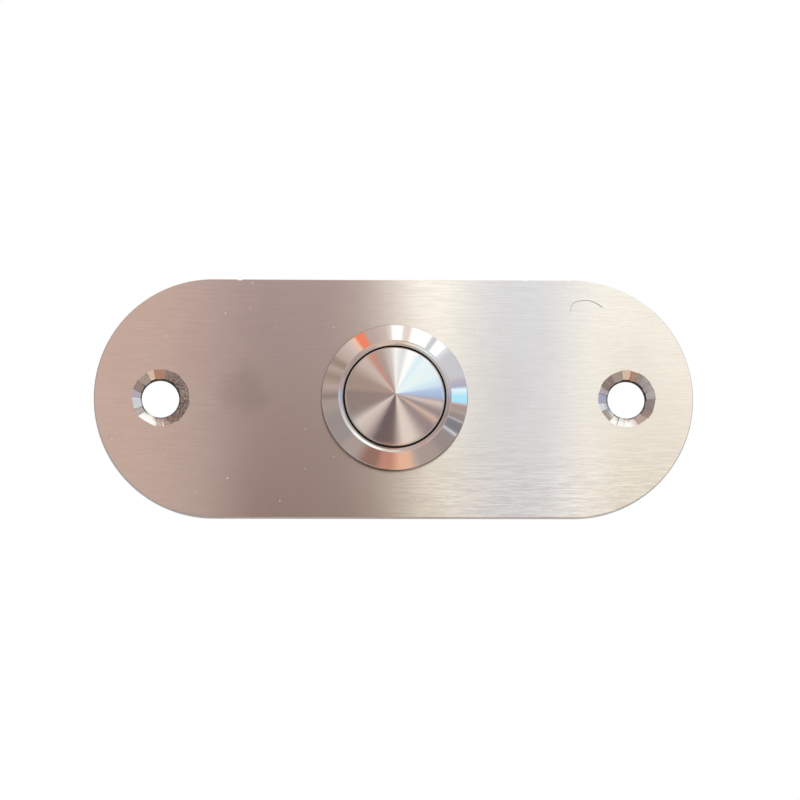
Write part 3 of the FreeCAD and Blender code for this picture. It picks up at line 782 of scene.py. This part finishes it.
def make_button():
    """Button turned hollow, with its domed face, seal groove, stop shoulder and boss."""
    edge_y = crest_y + 0.15 * MM
    dome = 0.15 * MM
    dome_steps = 14
    face_r = BUTTON_R - 0.2 * MM
    groove_front_y = edge_y + 1.15 * MM
    groove_back_y = groove_front_y + 1.4 * MM
    groove_r = 6.55 * MM
    shoulder_y = 1.25 * MM
    shoulder_back_y = 2.4 * MM
    shoulder_r = 8.1 * MM
    floor_y = -2.6 * MM
    boss_r = 2.2 * MM
    boss_end_y = 0.6 * MM
    peg_hole_r = 1.2 * MM
    face = [(face_r * step / dome_steps, edge_y - dome * (1 - (step / dome_steps) ** 2), 0)
            for step in range(dome_steps)]
    bm = lathe(face + [
        (face_r, edge_y, 0.05 * MM),
        (BUTTON_R, edge_y + 0.2 * MM, 0.06 * MM),
        (BUTTON_R, groove_front_y, 0.05 * MM),
        (groove_r, groove_front_y, 0),
        (groove_r, groove_back_y, 0),
        (BUTTON_R, groove_back_y, 0.05 * MM),
        (BUTTON_R, shoulder_y, 0),
        (shoulder_r, shoulder_y, 0.08 * MM),
        (shoulder_r, shoulder_back_y, 0.08 * MM),
        (CUP_R, shoulder_back_y, 0.1 * MM),
        (CUP_R, floor_y, 0),
        (boss_r, floor_y, 0),
        (boss_r, boss_end_y, 0.1 * MM),
        (peg_hole_r, boss_end_y, 0),
        (peg_hole_r, floor_y, 0),
        (0, floor_y, 0),
    ], closed=False)
    return finished(bm, "turned_button", [button_metal], "button",
                    ["button_cap"], TURNED_SHARP)


# Pieces whose solid is right, with their edges softened

def make_softened(node, name, material, body, width):
    """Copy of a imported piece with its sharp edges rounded."""
    bm = bmesh.new()
    bm.from_mesh(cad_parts[node].data)
    bmesh.ops.remove_doubles(bm, verts=bm.verts, dist=0.001 * MM)
    bmesh.ops.dissolve_limit(bm, angle_limit=math.radians(1.0), verts=bm.verts, edges=bm.edges)
    creased = [edge for edge in bm.edges
               if len(edge.link_faces) == 2 and edge.calc_face_angle() > math.radians(TURNED_SHARP)]
    bmesh.ops.bevel(bm, geom=creased, offset=width, offset_type="OFFSET", affect="EDGES",
                    segments=2, profile=0.5, material=-1, clamp_overlap=True)
    bmesh.ops.triangulate(bm, faces=[face for face in bm.faces if len(face.verts) > 4])
    return finished(bm, name, [material], body, [node])


# Springs

def make_spring(name, low, high, wire, turns, body, node):
    """Round-wire coil, the ends of its wire capped."""
    bm = bmesh.new()
    coil_r = high.x - wire / 2
    length = high.y - low.y - wire
    steps_per_turn = 40
    made = bmesh.ops.create_circle(bm, segments=12, radius=wire / 2)["verts"]
    bmesh.ops.translate(bm, verts=made, vec=(coil_r, low.y + wire / 2, 0))
    steps = round(turns * steps_per_turn)
    bmesh.ops.spin(bm, geom=bm.verts[:] + bm.edges[:], cent=ORIGIN, axis=DEPTH_AXIS,
                   dvec=(0, length / steps, 0), angle=2 * math.pi * turns, steps=steps)
    bmesh.ops.holes_fill(bm, edges=[edge for edge in bm.edges if edge.is_boundary], sides=0)
    spring = finished(bm, name, [wire_metal], body, [node])
    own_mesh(spring)


make_face_plate()
make_scratch()
make_housing()
make_button()
make_softened("locking_nut", "locking_nut_rounded", nut_metal, "housing",
              LARGE_ROUND)
make_softened("terminal_base", "terminal_base_rounded", black_moulding, "housing",
              LARGE_ROUND)
for hand in ("left", "right"):
    for node, metal, slot in (
            ("terminal", brass_metal, "contact_brass"),
            ("clamp_washer", screw_metal, "screw_zinc"),
            ("terminal_screw", screw_metal, "screw_zinc")):
        full_name = node + "_" + hand
        make_softened(full_name, full_name + "_rounded", metal, "housing", SMALL_ROUND)
make_spring("return_coil", return_low, return_high, RETURN_WIRE, RETURN_TURNS, "button",
            "return_spring")
make_spring("contact_coil", contact_low, contact_high, CONTACT_WIRE, CONTACT_TURNS, "bridge",
            "contact_spring")

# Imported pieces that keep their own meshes
node_metals = {
    "flange_gasket": seal_rubber,
    "button_seal": seal_rubber,
    "base_seal": seal_rubber,
    "plunger": white_moulding,
    "plunger_guide": black_moulding,
    "contact_bridge": brass_metal,
    "bridge_contact_left": silver_metal,
    "bridge_contact_right": silver_metal,
    "fixed_contact_left": silver_metal,
    "fixed_contact_right": silver_metal,
}
for node, finish in node_metals.items():
    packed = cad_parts[node]
    for place in packed.material_slots:
        place.material = finish


# Studio

def in_steel(red, green, blue):
    """Tone of the studio wall that shows in the steel as this display tone, 0 to 255."""
    steel = (0.80, 0.775, 0.757)
    shown = (red, green, blue)
    return tuple((tone / 255) ** 2.2 / share for tone, share in zip(shown, steel)) + (1,)


# Tones of the room, as the steel shows them
WHITE = in_steel(263, 261, 255)
WARM_WHITE = in_steel(252, 247, 235)
CREAM = in_steel(243, 237, 222)
COOL_WHITE = in_steel(234, 249, 250)
COOL_GREY = in_steel(219, 220, 223)
PALE_GREY = in_steel(199, 197, 200)
STRAW = in_steel(213, 201, 179)
PALE_STRAW = in_steel(232, 220, 198)
OAT = in_steel(215, 188, 162)
CLAY = in_steel(170, 128, 108)
BUFF = in_steel(183, 165, 143)
GLARE = in_steel(298, 292, 277)
IVORY = in_steel(266, 258, 243)
ROSE = in_steel(199, 170, 157)
ASH_ROSE = in_steel(188, 163, 158)
DUSK = in_steel(173, 151, 149)
UMBER = in_steel(130, 107, 94)
BEIGE = in_steel(200, 182, 173)
PALE_BEIGE = in_steel(227, 209, 197)
TAN = in_steel(183, 161, 149)
FAWN = in_steel(164, 147, 138)
DRAB = in_steel(154, 132, 121)
PLUM_GREY = in_steel(134, 113, 115)
MID_GREY = in_steel(149, 137, 134)
SLATE = in_steel(125, 122, 128)
DARK_PURPLE = in_steel(80, 72, 77)
BROWN = in_steel(139, 121, 116)
DARK_BROWN = in_steel(128, 109, 104)
RUST = in_steel(143, 105, 93)
COPPER = in_steel(188, 132, 112)
ORANGE = in_steel(239, 129, 95)
PEACH = in_steel(227, 174, 145)
APRICOT = in_steel(240, 197, 173)
LILAC = in_steel(186, 176, 182)
LAVENDER = in_steel(166, 167, 192)
BLUE = in_steel(178, 200, 238)
DEEP_BLUE = in_steel(152, 174, 216)
HEATHER = in_steel(146, 138, 164)
SKY = in_steel(200, 238, 252)
AQUA = in_steel(172, 229, 246)
ICE = in_steel(216, 240, 249)

# The camera looks a little upwards and to the right, and the plate mirrors its line of sight
VIEW_RISE = math.radians(8.0)
VIEW_TURN = math.radians(3.0)
VIEW_ROLL = math.radians(-0.28)
CAMERA_DISTANCE = 0.90
STUDIO_R = 0.30
rise_cos, rise_sin = math.cos(VIEW_RISE), math.sin(VIEW_RISE)
turn_cos, turn_sin = math.cos(VIEW_TURN), math.sin(VIEW_TURN)
LOOK = (turn_sin * rise_cos, turn_cos * rise_cos, rise_sin)
MIRROR_SIDE = (turn_cos, turn_sin, 0)
MIRROR_UP = (-turn_sin * rise_sin, turn_cos * rise_sin, rise_cos)


def tone_ramp(tree, value, stops, lowest, highest):
    """Colours placed at values between a lowest and a highest one."""
    node = tree.nodes.new("ShaderNodeValToRGB")
    tree.links.new(ranged(tree, value, lowest, highest, smooth=False), node.inputs["Fac"])
    elements = node.color_ramp.elements
    while len(elements) < len(stops):
        elements.new(1.0)
    for element, (place, _) in zip(elements, stops):
        element.position = (place - lowest) / (highest - lowest)
    for element, (_, colour) in zip(elements, stops):
        element.color = colour
    return node.outputs["Color"]


def round_ramp(tree, angle, lower_stops, upper_stops):
    """Colours placed by degrees, below and above the level line."""
    lower = tone_ramp(tree, angle, lower_stops, -180, 0)
    upper = tone_ramp(tree, angle, upper_stops, 0, 180)
    return mixed(tree, math_node(tree, "GREATER_THAN", angle, 0.0), lower, upper)


# What the flat plate shows, by millimetres from its middle, above and below the button
PLATE_ABOVE = [
    (-45, ROSE), (-35, ROSE), (-28, ASH_ROSE), (-22, DUSK), (-8, DUSK), (-3.2, TAN), (4.4, GLARE),
    (5.8, GLARE), (9.5, WARM_WHITE), (13, COOL_GREY), (25.6, COOL_GREY), (28, WARM_WHITE),
    (32.5, IVORY), (37, WARM_WHITE), (41, IVORY), (45, IVORY),
]
PLATE_BELOW = [
    (-45, ROSE), (-38, ROSE), (-34, TAN), (-29, TAN), (-22.5, UMBER), (-1.2, UMBER), (3.9, BUFF),
    (5.7, PALE_STRAW), (8.5, STRAW), (14, PALE_GREY), (24, PALE_GREY), (28, IVORY), (30.8, STRAW),
    (40.5, STRAW), (45, PALE_BEIGE),
]
# What the turned pieces show, by degrees round from the right, below and above the level line
FACE_BELOW = [
    (-180, DARK_BROWN), (-160, DARK_BROWN), (-152, MID_GREY), (-144, PALE_BEIGE), (-130, BEIGE),
    (-124, DUSK), (-115, DARK_PURPLE), (-95, DARK_PURPLE), (-89, MID_GREY), (-81, PALE_BEIGE),
    (-68, PALE_BEIGE), (-62, BEIGE), (-56, FAWN), (-50, PLUM_GREY), (-40, PLUM_GREY), (-36, TAN),
    (-33, PEACH), (-31.5, PEACH), (-30, TAN), (-26, PLUM_GREY), (-21, PLUM_GREY), (-12, PALE_BEIGE),
    (-9.5, ROSE), (-6.5, HEATHER), (-3, DEEP_BLUE),
]
FACE_ABOVE = [
    (0, DEEP_BLUE), (5, DEEP_BLUE), (8, BLUE), (13, ICE), (18, SKY), (24, COOL_WHITE),
    (42, COOL_WHITE), (53, ICE), (60, ICE), (66, WHITE), (73, WHITE), (78, COOL_GREY),
    (85, COOL_GREY), (88, WARM_WHITE), (91, WARM_WHITE), (96, PALE_GREY), (102, BEIGE), (109, FAWN),
    (116, FAWN), (119.5, COPPER), (125, COPPER), (130, BEIGE), (135, BEIGE), (146, TAN),
    (154, DRAB), (171, DRAB), (178, DARK_BROWN), (180, DARK_BROWN),
]
CONE_BELOW = [
    (-180, BROWN), (-176, FAWN), (-170, FAWN), (-160, MID_GREY), (-140, MID_GREY), (-136, FAWN),
    (-125, FAWN), (-116, RUST), (-107, RUST), (-101, COPPER), (-94, COPPER), (-86, PEACH),
    (-78, PEACH), (-73, TAN), (-68, FAWN), (-54, FAWN), (-48, MID_GREY), (-34, MID_GREY),
    (-32.3, COOL_GREY), (-30.5, SLATE), (-22, SLATE), (-21.2, COOL_GREY), (-20.4, MID_GREY),
    (-15.5, MID_GREY), (-14, TAN), (-12.5, FAWN), (-9, FAWN), (-8, COPPER), (-7, LILAC), (-5, AQUA),
]
CONE_ABOVE = [
    (0, AQUA), (6.5, COOL_WHITE), (8.5, LAVENDER), (14, LILAC), (18, PALE_GREY), (38, PALE_GREY),
    (43.5, COOL_GREY), (45, WHITE), (52.5, WHITE), (54, PALE_GREY), (57.5, PALE_GREY), (59, WHITE),
    (75, WHITE), (76.5, PALE_BEIGE), (82, PALE_BEIGE), (84, WHITE), (91.5, WHITE),
    (93.5, PALE_BEIGE), (98, BEIGE), (108, ASH_ROSE), (114.5, TAN), (116.5, ORANGE), (123, ORANGE),
    (125, APRICOT), (133, BEIGE), (144.5, TAN), (147.5, DRAB), (151, DRAB), (155, TAN), (162, DRAB),
    (172, TAN), (180, BROWN),
]
CHAMFER_BELOW = [
    (-180, LAVENDER), (-165, PALE_GREY), (-140, COOL_GREY), (-128, COOL_WHITE), (-108, CREAM),
    (-98, STRAW), (-84, BEIGE), (-60, ROSE), (-50, DUSK), (-12, DUSK), (-4, LAVENDER),
]
CHAMFER_ABOVE = [
    (0, LAVENDER), (10, LAVENDER), (22, PALE_GREY), (36, COOL_GREY), (44, WHITE), (62, WHITE),
    (72, CREAM), (82, BEIGE), (105, TAN), (128, DUSK), (160, MID_GREY), (174, DUSK),
    (180, LAVENDER),
]
SINK_BELOW = [
    (-180, FAWN), (-162, FAWN), (-154, BROWN), (-110, BROWN), (-106, CLAY), (-93, CLAY), (-88, OAT),
    (-73, OAT), (-68, FAWN), (-50, FAWN), (-46, BROWN), (-22, BROWN), (-16, LILAC), (-9, LILAC),
    (-5, LAVENDER),
]
SINK_ABOVE = [
    (0, LAVENDER), (5, LAVENDER), (9, COOL_GREY), (20, COOL_GREY), (26, FAWN), (42, FAWN),
    (47, WHITE), (94, WHITE), (98, ROSE), (118, TAN), (128, DRAB), (150, BROWN), (180, BROWN),
]

# Tilts of the steel, in degrees from the plate's, where one piece's tones give way to the next's
PLATE_TO_FACE = (8.2, 9.4)
FACE_TO_CONE = (17.0, 20.0)
CONE_TO_CHAMFER = (28.5, 30.5)
CHAMFER_TO_SINK = (35.1, 35.6)
SINK_TO_ROOM = (48.0, 60.0)
# Heights on the plate, in millimetres, between which the lower tones give way to the upper ones
BELOW_TO_ABOVE = (-12.0, 12.0)
# How far along the plate its tones are placed, in millimetres either way
PLATE_REACH = 50


def studio_tones(tree, place):
    """Tones of the studio wall, each spot by the tilt and the turn of the surface that shows it."""
    spread = (1 + STUDIO_R / CAMERA_DISTANCE) * MM
    along = vector_math(tree, "DOT_PRODUCT", place, MIRROR_SIDE)
    along = math_node(tree, "DIVIDE", along, spread)
    upward = vector_math(tree, "DOT_PRODUCT", place, MIRROR_UP)
    upward = math_node(tree, "DIVIDE", upward, spread)
    facing = vector_math(tree, "SUBTRACT", vector_math(tree, "NORMALIZE", place), LOOK)
    facing = vector_math(tree, "NORMALIZE", facing)
    outward = vector_math(tree, "DOT_PRODUCT", facing, (0, -1, 0))
    tilt = math_node(tree, "DEGREES", math_node(tree, "ARCCOSINE", outward))
    at = axes_of(tree, facing)
    around = math_node(tree, "DEGREES", math_node(tree, "ARCTAN2", at["Z"], at["X"]))

    above = tone_ramp(tree, along, PLATE_ABOVE, -PLATE_REACH, PLATE_REACH)
    below = tone_ramp(tree, along, PLATE_BELOW, -PLATE_REACH, PLATE_REACH)
    tones = mixed(tree, ranged(tree, upward, *BELOW_TO_ABOVE), below, above)
    for limits, lower_stops, upper_stops in (
            (PLATE_TO_FACE, FACE_BELOW, FACE_ABOVE),
            (FACE_TO_CONE, CONE_BELOW, CONE_ABOVE),
            (CONE_TO_CHAMFER, CHAMFER_BELOW, CHAMFER_ABOVE),
            (CHAMFER_TO_SINK, SINK_BELOW, SINK_ABOVE)):
        next_tones = round_ramp(tree, around, lower_stops, upper_stops)
        tones = mixed(tree, ranged(tree, tilt, *limits), tones, next_tones)
    # Beyond them the room is plain, darker towards its floor and its left side
    lit = vector_math(tree, "DOT_PRODUCT", place, (0.5, 0, 0.87))
    lit = ranged(tree, lit, -0.2, 0.22)
    plain = mixed(tree, lit, (0.32, 0.31, 0.30, 1), (0.86, 0.85, 0.84, 1))
    return mixed(tree, ranged(tree, tilt, *SINK_TO_ROOM), tones, plain)


def make_studio_wall():
    """Round wall of the studio, seen only in reflections."""
    bm = bmesh.new()
    bmesh.ops.create_uvsphere(bm, u_segments=64, v_segments=32, radius=STUDIO_R)
    wall = in_scene("studio_wall", mesh_of(bm, "studio_wall"))
    material = bpy.data.materials.new("studio_wall")
    material.use_nodes = True
    tree = material.node_tree
    tree.nodes.remove(tree.nodes["Principled BSDF"])
    glow = tree.nodes.new("ShaderNodeEmission")
    tree.links.new(studio_tones(tree, object_place(tree)), glow.inputs["Color"])
    tree.links.new(glow.outputs[0], tree.nodes["Material Output"].inputs["Surface"])
    material.cycles.emission_sampling = "NONE"
    wall.data.materials.append(material)
    wall.visible_camera = False
    wall.visible_diffuse = False
    wall.visible_transmission = False
    wall.visible_volume_scatter = False
    wall.visible_shadow = False


def make_floor():
    """Plain pale floor well below the plate."""
    floor_z = -0.18
    bm = bmesh.new()
    bmesh.ops.create_grid(bm, x_segments=8, y_segments=8, size=1.6)
    bmesh.ops.translate(bm, verts=bm.verts, vec=(0, 0, floor_z))
    floor = in_scene("studio_floor", mesh_of(bm, "studio_floor"))
    material, tree, shader, place = new_material("studio_floor")
    tone = mixed(tree, noise(tree, place, 6.0), (0.88, 0.88, 0.87, 1), (0.91, 0.91, 0.90, 1))
    feed(tree, shader, Base_Color=tone)
    shader.inputs["Roughness"].default_value = 0.9
    floor.data.materials.append(material)
    floor.visible_glossy = False


def make_lamp(name, place, size, power):
    """Soft square lamp aimed at the button."""
    lamp = bpy.data.lights.new(name, "AREA")
    lamp.size = size
    lamp.energy = power
    holder = in_scene(name, lamp)
    holder.location = place
    holder.rotation_euler = (-Vector(place)).to_track_quat("-Z", "Y").to_euler()
    holder.visible_glossy = False


def make_world():
    """White backdrop for what the eye, metal and glass see, and a softer fill for the rest."""
    world = bpy.data.worlds.new("pale_studio")
    bpy.context.scene.world = world
    world.use_nodes = True
    tree = world.node_tree
    fill = tree.nodes["Background"]
    fill.inputs["Color"].default_value = (1, 1, 1, 1)
    fill.inputs["Strength"].default_value = 0.8
    backdrop = tree.nodes.new("ShaderNodeBackground")
    backdrop.inputs["Color"].default_value = (1, 1, 1, 1)
    backdrop.inputs["Strength"].default_value = 1.0
    rays = tree.nodes.new("ShaderNodeLightPath").outputs
    seen = math_node(tree, "ADD", rays["Is Camera Ray"], rays["Is Glossy Ray"], clamp=True)
    seen = math_node(tree, "ADD", seen, rays["Is Transmission Ray"], clamp=True)
    chosen = tree.nodes.new("ShaderNodeMixShader")
    tree.links.new(seen, chosen.inputs[0])
    tree.links.new(fill.outputs[0], chosen.inputs[1])
    tree.links.new(backdrop.outputs[0], chosen.inputs[2])
    tree.links.new(chosen.outputs[0], tree.nodes["World Output"].inputs["Surface"])


def make_camera():
    """Camera at the photograph's angle."""
    aim = Vector((0.86 * MM, plate_front, -0.27 * MM))
    camera = bpy.data.cameras.new("camera")
    camera.sensor_width = 36.0
    camera.lens = 270.1
    camera.clip_start = 0.01
    holder = in_scene("camera", camera)
    holder.location = aim - CAMERA_DISTANCE * Vector(LOOK)
    turned = (Matrix.Rotation(-VIEW_TURN, 3, "Z")
              @ Matrix.Rotation(math.pi / 2 + VIEW_RISE, 3, "X")
              @ Matrix.Rotation(VIEW_ROLL, 3, "Z"))
    holder.rotation_euler = turned.to_euler()
    bpy.context.scene.camera = holder


make_studio_wall()
make_floor()
make_lamp("key_lamp", (-0.5, -0.7, 0.6), 0.6, 2.4)
make_lamp("fill_lamp", (0.7, -0.4, 0.3), 0.6, 1.2)
make_lamp("rear_lamp", (0.2, 0.8, 0.5), 0.6, 2.0)
make_world()
make_camera()
bpy.context.scene.view_settings.view_transform = "Standard"
